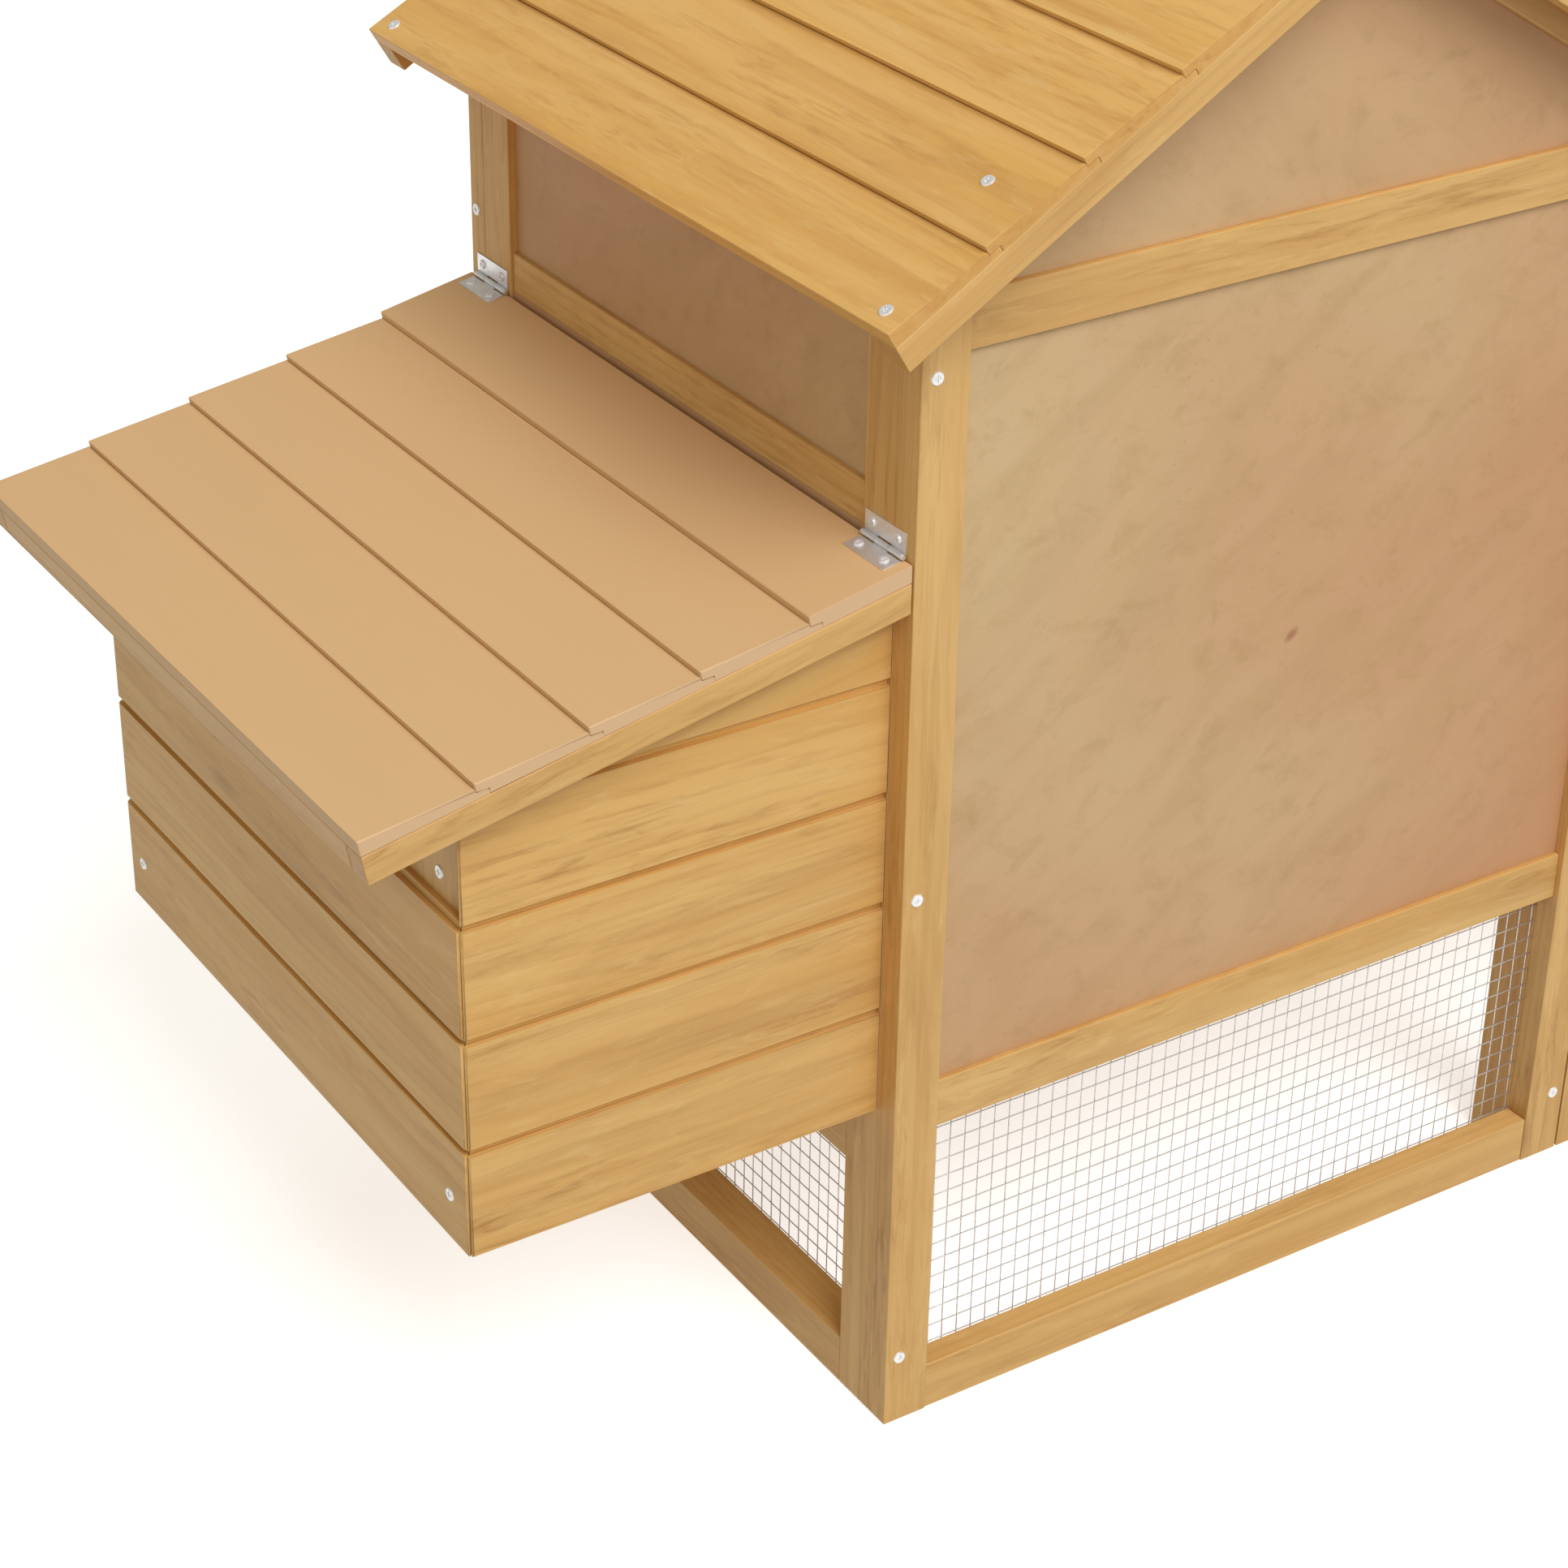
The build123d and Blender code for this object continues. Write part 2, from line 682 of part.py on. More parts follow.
with BuildPart() as pop_door_guides:
    groove = pop_door_thickness + 2 * pop_clearance
    guide_inner = pop_sheet_inner - groove - guide_back
    for side in (-1, 1):
        edge = pop_door_half + pop_clearance
        corners = [
            (pop_sheet_inner, ramp_y + side * edge),
            (pop_sheet_inner, ramp_y + side * (edge + guide_width)),
            (guide_inner, ramp_y + side * (edge + guide_width)),
            (guide_inner, ramp_y + side * (edge - guide_lip)),
            (pop_sheet_inner - groove, ramp_y + side * (edge - guide_lip)),
            (pop_sheet_inner - groove, ramp_y + side * edge),
        ]
        outline(Plane.XY.offset(sill_top), corners, side_top - rail_height - sill_top)
write(pop_door_guides.part, "pop_door_guides")

# ---- floor and perch
interior_y = house_depth / 2 - lumber - wire_size - board_gap
with BuildPart() as house_floor:
    with BuildSketch(Plane.XY.offset(side_rail_top)) as panel:
        Rectangle(2 * (half_length - post_thickness - board_gap), 2 * interior_y)
        Rectangle(
            2 * (half_length - side_rail_depth + floor_bearing),
            2 * (post_inner_y - board_gap),
        )
    extrude(panel.sketch, amount=floor_thickness)
write(house_floor.part, "house_floor")

with BuildPart() as perch:
    xs = (-half_length + lid_rail_setback + sheet_thickness, pop_sheet_inner)
    middle = back + perch_offset
    board(xs, (middle - perch_size / 2, middle + perch_size / 2), (perch_height, perch_height + perch_size))
    fillet(perch.edges().filter_by(Axis.X), radius=perch_size / 5)
write(perch.part, "perch")

# ---- tray
tray_half = inner_x - tray_gap
tray_bottom = floor_top + tray_lift
with BuildPart() as tray_pan:
    ys = (-interior_y + tray_gap, front - lumber)
    board((-tray_half, tray_half), ys, (tray_bottom, floor_top + tray_height))
    offset(amount=-tray_sheet, openings=tray_pan.faces().sort_by(Axis.Z)[-1])
write(tray_pan.part, "tray_pan")

with BuildPart() as tray_front:
    board((-tray_half, tray_half), (front - lumber, front), (tray_bottom, slot_top - tray_gap / 2))
write(tray_front.part, "tray_front")

with BuildPart() as tray_knob:
    knob((0, front, (tray_bottom + slot_top - tray_gap / 2) / 2), (0, 1, 0))
write(tray_knob.part, "tray_knob")


# ---- framed doors
def door_frame(x, z, leaves):
    """Two stiles with two rails between them."""
    ys = (front - lumber, front)
    board((x[0], x[0] + stile_width), ys, z)
    board((x[1] - stile_width, x[1]), ys, z)
    between = (x[0] + stile_width + board_gap, x[1] - stile_width - board_gap)
    board(between, ys, (z[0], z[0] + rail_height))
    board(between, ys, (z[1] - rail_height, z[1]))
    pilots(leaf_screws(leaves), leaf_screw)


door_x = (-inner_x + door_gap, inner_x - door_gap)
door_z = (door_sill + door_gap, top_rail_bottom - door_gap)
with BuildPart() as front_door_frame:
    door_frame(door_x, door_z, door_leaves)
write(front_door_frame.part, "front_door_frame")

with BuildPart() as front_door_sheet:
    board(
        (door_x[0] + stile_width, door_x[1] - stile_width),
        at_wall(front, sheet_setback, sheet_thickness),
        (door_z[0] + rail_height, door_z[1] - rail_height),
    )
write(front_door_sheet.part, "front_door_sheet")

with BuildPart() as front_door_button:
    turn_button(door_button)
write(front_door_button.part, "front_door_button")

# ---- roof
for side, name in ((-1, "roof_nest_side_boards"), (1, "roof_run_side_boards")):
    with BuildPart() as roof_boards:
        for profile in lapped_courses(
            roof_edges, roof_thick, roof_thin, roof_thick, roof_top_thin, pitch
        ):
            corners = [roof_place(side, up, off) for up, off in profile]
            slab(corners, (-roof_depth / 2, roof_depth / 2))
        pilots([screw for screw in roof_screws if screw[1][0] * side > 0], frame_screw)
        pilots([screw for screw in ridge_screws if screw[1][0] * side > 0], frame_screw)
    write(roof_boards.part, name)

with BuildPart() as roof_end_battens:
    for side in (-1, 1):
        for end in (-1, 1):
            ys = sorted((end * roof_depth / 2, end * (roof_depth / 2 - batten_width)))
            ridge_end = roof_slope_length - batten_height * tan(pitch)
            profile = [(0, 0), (roof_slope_length, 0), (ridge_end, -batten_height), (0, -batten_height)]
            slab([roof_place(side, up, off) for up, off in profile], ys)
    pilots(roof_screws, frame_screw)
write(roof_end_battens.part, "roof_end_battens")

with BuildPart() as ridge_boards:
    top = ridge_seat + ridge_board_thickness
    profile = [
        (ridge_start, ridge_seat),
        (roof_slope_length + ridge_seat * tan(pitch), ridge_seat),
        (roof_slope_length + top * tan(pitch), top),
        (ridge_start, top),
    ]
    for side in (-1, 1):
        slab([roof_place(side, up, off) for up, off in profile], (-roof_depth / 2, roof_depth / 2))
    pilots(ridge_screws, frame_screw)
write(ridge_boards.part, "ridge_boards")


# ---- nest box
def lid_place(down, off):
    """X and Z of a place down the lid's slope from the wall and off the boards' underside."""
    x = -half_length - down * cos(lid_slope) - off * sin(lid_slope)
    return (x, lid_height_at_wall - down * sin(lid_slope) + off * cos(lid_slope))


def nest_course(course, tongue):
    """Profile of a box board: how far each point is in from the face, and its height."""
    low = nest_bottom + course * nest_cover
    high = low + nest_cover
    rebate = nest_groove_depth - board_gap
    points = [(0, low), (0, high - nest_groove), (nest_groove_depth, high - nest_groove)]
    points += [(nest_groove_depth, high + tongue), (nest_board, high + tongue)]
    if course:
        points += [(nest_board, low + nest_lap + board_gap), (rebate, low + nest_lap + board_gap)]
        points += [(rebate, low)]
    else:
        points += [(nest_board, low)]
    return points


nest_end_x = -half_length - nest_reach


def cut_under_lid(ys):
    """Cut away everything that reaches above the closed lid's underside."""
    above = nest_cover * nest_side_courses
    profile = [(-lid_batten_width, -lid_gap), (lid_length, -lid_gap)]
    profile += [(lid_length, above), (-lid_batten_width, above)]
    slab([lid_place(down, off) for down, off in profile], ys, Mode.SUBTRACT)


def nest_side_wall(side):
    for course in range(nest_side_courses):
        corners = [(side * (nest_y - deep), z) for deep, z in nest_course(course, nest_lap)]
        cross_slab(corners, (nest_end_x, -half_length))
    ys = sorted((side * (nest_y + 1), side * (nest_y - nest_board - 1)))
    cut_under_lid(ys)
    miter = board_gap / 2
    corners = [
        (nest_end_x - 1, side * (nest_y + 1)),
        (nest_end_x + nest_corner_bevel + 1, side * (nest_y + 1)),
        (nest_end_x + nest_corner_bevel, side * nest_y),
        (nest_end_x + nest_corner_bevel / 2 + miter, side * (nest_y - nest_corner_bevel / 2)),
        (nest_end_x + nest_board + 1 + miter, side * (nest_y - nest_board - 1)),
        (nest_end_x - 1, side * (nest_y - nest_board - 1)),
    ]
    outline(Plane.XY.offset(nest_bottom - 1), corners, lid_height_at_wall, Mode.SUBTRACT)


with BuildPart() as nest_back_wall:
    nest_side_wall(-1)
write(nest_back_wall.part, "nest_back_wall")

with BuildPart() as nest_front_wall:
    nest_side_wall(1)
write(nest_front_wall.part, "nest_front_wall")

with BuildPart() as nest_end_wall:
    for course in range(nest_end_courses):
        tongue = nest_lap if course < nest_end_courses - 1 else 0
        corners = [(nest_end_x + deep, z) for deep, z in nest_course(course, tongue)]
        slab(corners, (-nest_y, nest_y))
    for side in (-1, 1):
        miter = board_gap / 2
        corners = [
            (nest_end_x - 1, side * (nest_y + 1)),
            (nest_end_x - 1, side * (nest_y - nest_corner_bevel - 1)),
            (nest_end_x, side * (nest_y - nest_corner_bevel)),
            (nest_end_x + nest_corner_bevel / 2, side * (nest_y - nest_corner_bevel / 2 - miter)),
            (nest_end_x + nest_board + 1, side * (nest_y - nest_board - 1 - miter)),
            (nest_end_x + nest_board + 1, side * (nest_y + 1)),
        ]
        outline(Plane.XY.offset(nest_bottom - 1), corners, lid_height_at_wall, Mode.SUBTRACT)
    pilots(nest_end_screws, frame_screw)
write(nest_end_wall.part, "nest_end_wall")

with BuildPart() as nest_floor:
    board(
        (nest_post_face, -half_length),
        (-nest_inner_y, nest_inner_y),
        (nest_bottom, nest_floor_top),
    )
write(nest_floor.part, "nest_floor")

with BuildPart() as nest_posts:
    for side in (-1, 1):
        ys = sorted((side * nest_inner_y, side * (nest_inner_y - nest_post_width)))
        xs = (nest_post_face, nest_post_face + nest_post_thickness)
        board(xs, ys, (nest_floor_top, lid_height_at_wall))
    cut_under_lid((-nest_y, nest_y))
    pilots(nest_end_screws, frame_screw)
    pilots(nest_post_screws, frame_screw)
write(nest_posts.part, "nest_posts")

with BuildPart() as nest_divider:
    board(
        (nest_post_face, -half_length + lid_rail_setback),
        (-divider_thickness / 2, divider_thickness / 2),
        (nest_floor_top, divider_top),
    )
write(nest_divider.part, "nest_divider")

# ---- nest lid
lid_y = house_depth / 2 - lid_inset
lid_wall_end = lid_gap / cos(lid_slope)
lid_edges = [n * lid_cover for n in range(lid_course_count)] + [lid_length - lid_wall_end]
with BuildPart() as lid_boards:
    for profile in lapped_courses(
        lid_edges, lid_thick, lid_thin, lid_top_board, lid_top_board, lid_slope
    ):
        corners = [lid_place(lid_length - up, off) for up, off in profile]
        slab(corners, (-lid_y, lid_y))
    pilots(leaf_screws(lid_leaves), leaf_screw)
write(lid_boards.part, "lid_boards")

with BuildPart() as lid_battens:
    drop = lid_batten_height * tan(lid_slope)
    inner_end = lid_wall_end + drop
    profile = [(lid_wall_end, 0), (lid_length, 0)]
    profile += [(lid_length, -lid_batten_height), (inner_end, -lid_batten_height)]
    for side in (-1, 1):
        ys = sorted((side * lid_y, side * (lid_y - lid_batten_width)))
        slab([lid_place(down, off) for down, off in profile], ys)
    profile = [(lid_length - lid_batten_width, 0), (lid_length, 0)]
    profile += [(lid_length, -lid_batten_height), (lid_length - lid_batten_width, -lid_batten_height)]
    inner = lid_y - lid_batten_width
    slab([lid_place(down, off) for down, off in profile], (-inner + board_gap, inner - board_gap))
write(lid_battens.part, "lid_battens")


# ---- ramp
def ramp_place(down, off):
    """X and Z of a place down the ramp from the pin's axis and off the ramp's walking face."""
    x = ramp_axis_x + down * cos(ramp_slope) + (off - hinge_axis_height) * sin(ramp_slope)
    return (x, ramp_axis_z - down * sin(ramp_slope) + (off - hinge_axis_height) * cos(ramp_slope))


ramp_toe = board_gap
ramp_length = (ramp_axis_z - hinge_axis_height * cos(ramp_slope) - ramp_toe) / sin(ramp_slope)
ramp_ys = (ramp_y - ramp_width / 2, ramp_y + ramp_width / 2)
with BuildPart() as ramp:
    wall_x = half_length + lid_gap
    top_z = ramp_place(0, 0)[1] + (ramp_place(0, 0)[0] - wall_x) * tan(ramp_slope)
    drop = ramp_thickness / cos(ramp_slope)
    toe_x = ramp_place(ramp_length, 0)[0]
    corners = [
        (wall_x, top_z),
        (toe_x, ramp_toe),
        (toe_x - ramp_thickness / sin(ramp_slope), ramp_toe),
        (wall_x, top_z - drop),
    ]
    slab(corners, ramp_ys)
    pilots(leaf_screws(ramp_leaves), leaf_screw)
write(ramp.part, "ramp")

with BuildPart() as ramp_cleats:
    for step in range(1, int(ramp_length // cleat_spacing)):
        down = step * cleat_spacing
        profile = [(down, 0), (down + cleat_size, 0), (down + cleat_size, cleat_size), (down, cleat_size)]
        slab([ramp_place(along, off) for along, off in profile], ramp_ys)
write(ramp_cleats.part, "ramp_cleats")

# ---- run
run_bays = [(run_start + stile_width, run_middle - stile_width / 2)]
run_bays += [(run_middle + stile_width / 2, run_end - stile_width)]
run_top_bottom = run_height - rail_height
cross_y = house_depth / 2 - lumber
with BuildPart() as run_stiles:
    for wall in (back, front):
        for left in (run_start, run_middle - stile_width / 2, run_end - stile_width):
            board((left, left + stile_width), at_wall(wall, 0, lumber), (0, run_height))
    pilots(run_screws, frame_screw)
    pilots(joining_screws, joining_screw)
    pilots(leaf_screws(run_door_wall_leaves), leaf_screw)
    pilots(button_screws, button_screw)
write(run_stiles.part, "run_stiles")

with BuildPart() as run_rails:
    for wall in (back, front):
        for bay in run_bays:
            board(bay, at_wall(wall, 0, lumber), (0, bottom_rail_height))
            board(bay, at_wall(wall, 0, lumber), (run_top_bottom, run_height))
    end_rail = (run_end - lumber, run_end)
    board(end_rail, (-cross_y, cross_y), (0, bottom_rail_height))
    board(end_rail, (-cross_y, cross_y), (run_top_bottom, run_height))
    board(
        (run_middle - lumber / 2, run_middle + lumber / 2),
        (-cross_y, cross_y),
        (run_top_bottom, run_height),
    )
    board((run_start, run_start + lumber), (-cross_y, cross_y), (run_top_bottom, run_height))
    pilots(run_screws, frame_screw)
write(run_rails.part, "run_rails")

with BuildPart() as run_meshes:
    wall_height = run_height - 2 * (rail_height - mesh_lap)
    middle_z = run_height / 2
    corner_lap = wire_size + board_gap
    back_plane = Plane(
        origin=((run_start + run_end - lumber - corner_lap) / 2, back + lumber, middle_z),
        x_dir=(-1, 0, 0),
        z_dir=(0, 1, 0),
    )
    below_cross_rails = run_top_bottom - bottom_rail_height
    grille(back_plane, run_length - lumber - corner_lap, below_cross_rails - 2 * board_gap)
    left_bay = run_bays[0]
    bay_middle = (left_bay[0] + left_bay[1]) / 2
    front_plane = Plane(
        origin=(bay_middle, front - lumber - wire_size, middle_z),
        x_dir=(-1, 0, 0),
        z_dir=(0, 1, 0),
    )
    grille(front_plane, left_bay[1] - left_bay[0] + 2 * mesh_lap, below_cross_rails - 2 * board_gap)
    end_plane = Plane(
        origin=(run_end - lumber - wire_size, 0, middle_z), x_dir=(0, 1, 0), z_dir=(1, 0, 0)
    )
    grille(end_plane, 2 * (cross_y - corner_lap), wall_height)
    with_lap = run_length - 2 * (lumber - mesh_lap)
    grille(
        Plane.XY.offset(run_height).move(Location((run_middle, 0, 0))),
        with_lap,
        2 * (cross_y + mesh_lap),
    )
write(run_meshes.part, "run_meshes")

run_door_x = (run_bays[1][0] + door_gap, run_bays[1][1] - door_gap)
run_door_z = (bottom_rail_height + door_gap, run_top_bottom - door_gap)
with BuildPart() as run_door_frame:
    door_frame(run_door_x, run_door_z, run_door_leaves)
write(run_door_frame.part, "run_door_frame")

with BuildPart() as run_door_mesh:
    plane = Plane(
        origin=(
            (run_door_x[0] + run_door_x[1]) / 2,
            front - lumber - wire_size,
            (run_door_z[0] + run_door_z[1]) / 2,
        ),
        x_dir=(-1, 0, 0),
        z_dir=(0, 1, 0),
    )
    mesh_width = run_door_x[1] - run_door_x[0] - 2 * (stile_width - mesh_lap)
    grille(plane, mesh_width, run_door_z[1] - run_door_z[0] - 2 * (rail_height - mesh_lap))
write(run_door_mesh.part, "run_door_mesh")

with BuildPart() as run_door_button:
    turn_button(run_button)
write(run_door_button.part, "run_door_button")

# ---- hinges and screws
for name, leaves, outer in (
    ("fixed_hinge_leaves", fixed_leaves, True),
    ("lid_hinge_leaves", lid_leaves, False),
    ("ramp_hinge_leaves", ramp_leaves, False),
    ("front_door_hinge_leaves", door_leaves, False),
    ("run_door_hinge_leaves", run_door_leaves, False),
):
    with BuildPart() as leaf_set:
        hinge_leaves(leaves, outer)
    write(leaf_set.part, name)

for name, leaves in (
    ("fixed_hinge_screws", fixed_leaves),
    ("lid_hinge_screws", lid_leaves),
    ("ramp_hinge_screws", ramp_leaves),
    ("front_door_hinge_screws", door_leaves),
    ("run_door_hinge_screws", run_door_leaves),
):
    with BuildPart() as screw_set:
        screws(leaf_screws(leaves), leaf_screw)
    write(screw_set.part, name)

with BuildPart() as hinge_pins:
    for leaf in fixed_leaves:
        base = leaf_plane(leaf)
        reach = hinge_length / 2 + pin_clearance
        with BuildSketch(base.offset(-reach)) as shaft:
            Circle(pin_radius)
        extrude(shaft.sketch, amount=2 * reach)
        for start in (reach, -reach - pin_head_length):
            with BuildSketch(base.offset(start)) as cap:
                Circle(pin_head_radius)
            extrude(cap.sketch, amount=pin_head_length)
write(hinge_pins.part, "hinge_pins")

with BuildPart() as pivot_screws:
    screws(button_screws, button_screw)
write(pivot_screws.part, "pivot_screws")

with BuildPart() as frame_screws:
    screws(back_screws + edge_screws + roof_screws + ridge_screws, frame_screw)
    screws(nest_end_screws + nest_post_screws + run_screws, frame_screw)
    screws(joining_screws, joining_screw)
write(frame_screws.part, "frame_screws")
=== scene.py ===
import bpy
import bmesh
import json
import math
import random
from mathutils import Matrix, Vector

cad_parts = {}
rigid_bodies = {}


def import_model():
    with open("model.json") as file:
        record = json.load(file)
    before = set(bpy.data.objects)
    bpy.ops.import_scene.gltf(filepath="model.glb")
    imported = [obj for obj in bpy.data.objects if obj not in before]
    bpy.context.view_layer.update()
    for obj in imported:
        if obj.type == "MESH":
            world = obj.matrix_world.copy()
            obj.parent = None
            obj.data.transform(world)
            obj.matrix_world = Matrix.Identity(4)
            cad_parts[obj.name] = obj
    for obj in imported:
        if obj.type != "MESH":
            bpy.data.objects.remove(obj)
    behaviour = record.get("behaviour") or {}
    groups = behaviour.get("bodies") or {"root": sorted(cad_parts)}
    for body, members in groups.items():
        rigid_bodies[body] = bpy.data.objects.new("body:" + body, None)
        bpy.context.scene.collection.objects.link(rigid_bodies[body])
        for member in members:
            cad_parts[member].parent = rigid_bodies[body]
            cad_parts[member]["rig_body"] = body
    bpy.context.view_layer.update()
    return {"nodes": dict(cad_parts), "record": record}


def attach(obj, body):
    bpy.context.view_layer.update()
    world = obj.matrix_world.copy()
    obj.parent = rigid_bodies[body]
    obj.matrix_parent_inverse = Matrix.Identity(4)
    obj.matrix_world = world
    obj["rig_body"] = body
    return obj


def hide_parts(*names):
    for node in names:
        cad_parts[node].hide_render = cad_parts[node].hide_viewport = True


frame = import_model()
nodes = frame["nodes"]
print("frame loaded:", len(nodes), "nodes")


# shader maths: a wrapped socket whose operators add Math nodes
class Socket:
    def __init__(self, tree, link):
        self.tree = tree
        self.link = link

    def __add__(self, other):
        return self.tree.math("ADD", self, other)

    def __radd__(self, other):
        return self.tree.math("ADD", other, self)

    def __sub__(self, other):
        return self.tree.math("SUBTRACT", self, other)

    def __rsub__(self, other):
        return self.tree.math("SUBTRACT", other, self)

    def __mul__(self, other):
        return self.tree.math("MULTIPLY", self, other)

    def __rmul__(self, other):
        return self.tree.math("MULTIPLY", other, self)

    def __pow__(self, other):
        return self.tree.math("POWER", self, other)


class Material:
    def __init__(self, name):
        self.material = bpy.data.materials.new(name)
        self.material.use_nodes = True
        self.nodes = self.material.node_tree.nodes
        self.links = self.material.node_tree.links
        self.nodes.clear()
        self.output = self.nodes.new("ShaderNodeOutputMaterial")

    def node(self, kind, settings=None, inputs=None, out=0):
        made = self.nodes.new(kind)
        for key, value in (settings or {}).items():
            setattr(made, key, value)
        for key, value in (inputs or {}).items():
            if isinstance(value, Socket):
                self.links.new(value.link, made.inputs[key])
            else:
                made.inputs[key].default_value = value
        return Socket(self, made.outputs[out])

    def math(self, operation, a, b=0.0, clamp=False):
        settings = {"operation": operation, "use_clamp": clamp}
        return self.node("ShaderNodeMath", settings, {0: a, 1: b})

    def attribute(self, name):  # as a vector
        return self.node("ShaderNodeAttribute", {"attribute_name": name}, out=1)

    def split(self, vector):
        parts = self.node("ShaderNodeSeparateXYZ", inputs={0: vector}).link.node
        return [Socket(self, parts.outputs[n]) for n in range(3)]

    def vector(self, x, y, z):
        return self.node("ShaderNodeCombineXYZ", inputs={0: x, 1: y, 2: z})

    def mix(self, factor, a, b):  # of two colours
        a, b = [colour if isinstance(colour, Socket) else (*colour, 1.0) for colour in (a, b)]
        return self.node("ShaderNodeMix", {"data_type": "RGBA"}, {0: factor, 6: a, 7: b}, 2)

    def noise(self, place, scale, detail=3.0, roughness=0.5, distortion=0.0):
        inputs = {"Vector": place, "Scale": scale, "Detail": detail}
        inputs.update({"Roughness": roughness, "Distortion": distortion})
        return self.node("ShaderNodeTexNoise", inputs=inputs)

    def cells(self, place):  # the gap to each cell's middle, and the cell's own three random values
        inputs = {"Vector": place, "Scale": 1.0}
        gap = self.node("ShaderNodeTexVoronoi", {"voronoi_dimensions": "3D"}, inputs, 0)
        colour = self.node("ShaderNodeTexVoronoi", {"voronoi_dimensions": "3D"}, inputs, 1)
        return gap, self.split(colour)

    def rise(self, value, low, high):  # 0 below low, 1 above high
        return self.span(value, low, high, 0.0, 1.0)

    def fall(self, value, low, high):  # 1 below low, 0 above high
        return self.span(value, low, high, 1.0, 0.0)

    def span(self, value, low, high, toLow, toHigh):
        inputs = {0: value, 1: low, 2: high, 3: toLow, 4: toHigh}
        return self.node("ShaderNodeMapRange", {"clamp": True}, inputs)

    def finish(self, colour, roughness, height=None, depth=0.0, **fixed):
        inputs = {"Base Color": colour, "Roughness": roughness}
        if height is not None:
            settings = {"Strength": 1.0, "Distance": depth, "Height": height}
            inputs["Normal"] = self.node("ShaderNodeBump", inputs=settings)
        inputs.update(fixed)
        shader = self.node("ShaderNodeBsdfPrincipled", inputs=inputs)
        self.links.new(shader.link, self.output.inputs[0])
        return self.material


def srgb(*shades):  # three screen shades from 0 to 255, as a linear colour
    parts = [shade / 255 for shade in shades]
    return tuple(v / 12.92 if v <= 0.04045 else ((v + 0.055) / 1.055) ** 2.4 for v in parts)


# board coordinates: along the grain, across the face and through, for each separate board
cornersPerMetre = 2e5  # corners closer than this are one corner


def weldedCorners(mesh):  # one number for all the corners that stand in one place
    keys = {}
    places = [tuple(round(c * cornersPerMetre) for c in v.co) for v in mesh.vertices]
    return [keys.setdefault(place, len(keys)) for place in places]


def boardIslands(mesh):  # welded corners, and the separate boards that they make up
    welded = weldedCorners(mesh)
    parent = list(range(max(welded) + 1))

    def root(n):
        while parent[n] != n:
            parent[n] = parent[parent[n]]
            n = parent[n]
        return n

    for face in mesh.polygons:
        first = root(welded[face.vertices[0]])
        for v in face.vertices[1:]:
            parent[root(welded[v])] = first
    return welded, [root(n) for n in welded]


flatDot = 0.98  # two faces whose normals agree more than this are one flat face


def boardAxes(mesh, faces, welded):  # along the longest real edge, then square to the widest face
    areas = {}
    edges = {}
    for face in faces:
        normal = tuple(round(c, 2) + 0.0 for c in face.normal)
        areas[normal] = areas.get(normal, 0) + face.area
        for a, b in face.edge_keys:
            key = tuple(sorted((welded[a], welded[b])))
            edges.setdefault(key, []).append((face.normal, mesh.vertices[a].co, mesh.vertices[b].co))
    through = Vector(max(areas, key=areas.get)).normalized()
    along, longest = Vector((0, 0, 1)), 0
    for sides in edges.values():
        if len(sides) == 2 and sides[0][0].dot(sides[1][0]) < flatDot:
            run = sides[0][2] - sides[0][1]
            if run.length > longest:
                longest, along = run.length, run.normalized()
    across = through.cross(along).normalized()
    return along, across, along.cross(across)


def addBoardPlaces(obj, seed, grainAxis=None):
    mesh = obj.data
    welded, islands = boardIslands(mesh)
    facesOf = {}
    for face in mesh.polygons:
        facesOf.setdefault(islands[face.vertices[0]], []).append(face)
    values = {name: [0.0] * (3 * len(mesh.vertices)) for name in ("place", "half", "tone")}
    dice = random.Random(seed)
    for island in sorted(facesOf):
        faces = facesOf[island]
        members = sorted({v for face in faces for v in face.vertices})
        axes = boardAxes(mesh, faces, welded)
        if grainAxis:
            through = axes[2]
            along = (Vector(grainAxis) - Vector(grainAxis).dot(through) * through).normalized()
            axes = (along, through.cross(along), through)
        local = {v: [mesh.vertices[v].co.dot(axis) for axis in axes] for v in members}
        low = [min(p[n] for p in local.values()) for n in range(3)]
        high = [max(p[n] for p in local.values()) for n in range(3)]
        tone = [dice.random() for n in range(3)]
        for v in members:
            for n in range(3):
                values["place"][3 * v + n] = local[v][n] - (low[n] + high[n]) / 2
                values["half"][3 * v + n] = (high[n] - low[n]) / 2
                values["tone"][3 * v + n] = tone[n]
    for name, numbers in values.items():
        layer = mesh.attributes.new(name, "FLOAT_VECTOR", "POINT")
        layer.data.foreach_set("vector", numbers)


def boardPlace(m, shift):  # place and half size on a board, and its coordinates moved by its own tone
    place = m.attribute("place")
    half = m.attribute("half")
    along, across, through = m.split(place)
    tones = m.split(m.attribute("tone"))
    moved = [p + tone * by for p, tone, by in zip((along, across, through), tones, shift)]
    return place, half, (along, across, through), tones, moved


def edgeWear(m, place, half, width):  # 1 on a board's arrises, 0 a little way in from them
    gaps = []
    for p, h in zip(m.split(place), m.split(half)):
        gaps.append(h - m.math("ABSOLUTE", p))
    smaller = m.math("MINIMUM", gaps[0], gaps[1])
    larger = m.math("MAXIMUM", gaps[0], gaps[1])
    second = m.math("MAXIMUM", smaller, m.math("MINIMUM", larger, gaps[2]))
    return m.fall(second, 0.0, width)


def endFaces(m, along, half, low, high):  # 1 on a board's two sawn ends
    return m.fall(m.split(half)[0] - m.math("ABSOLUTE", along), low, high)


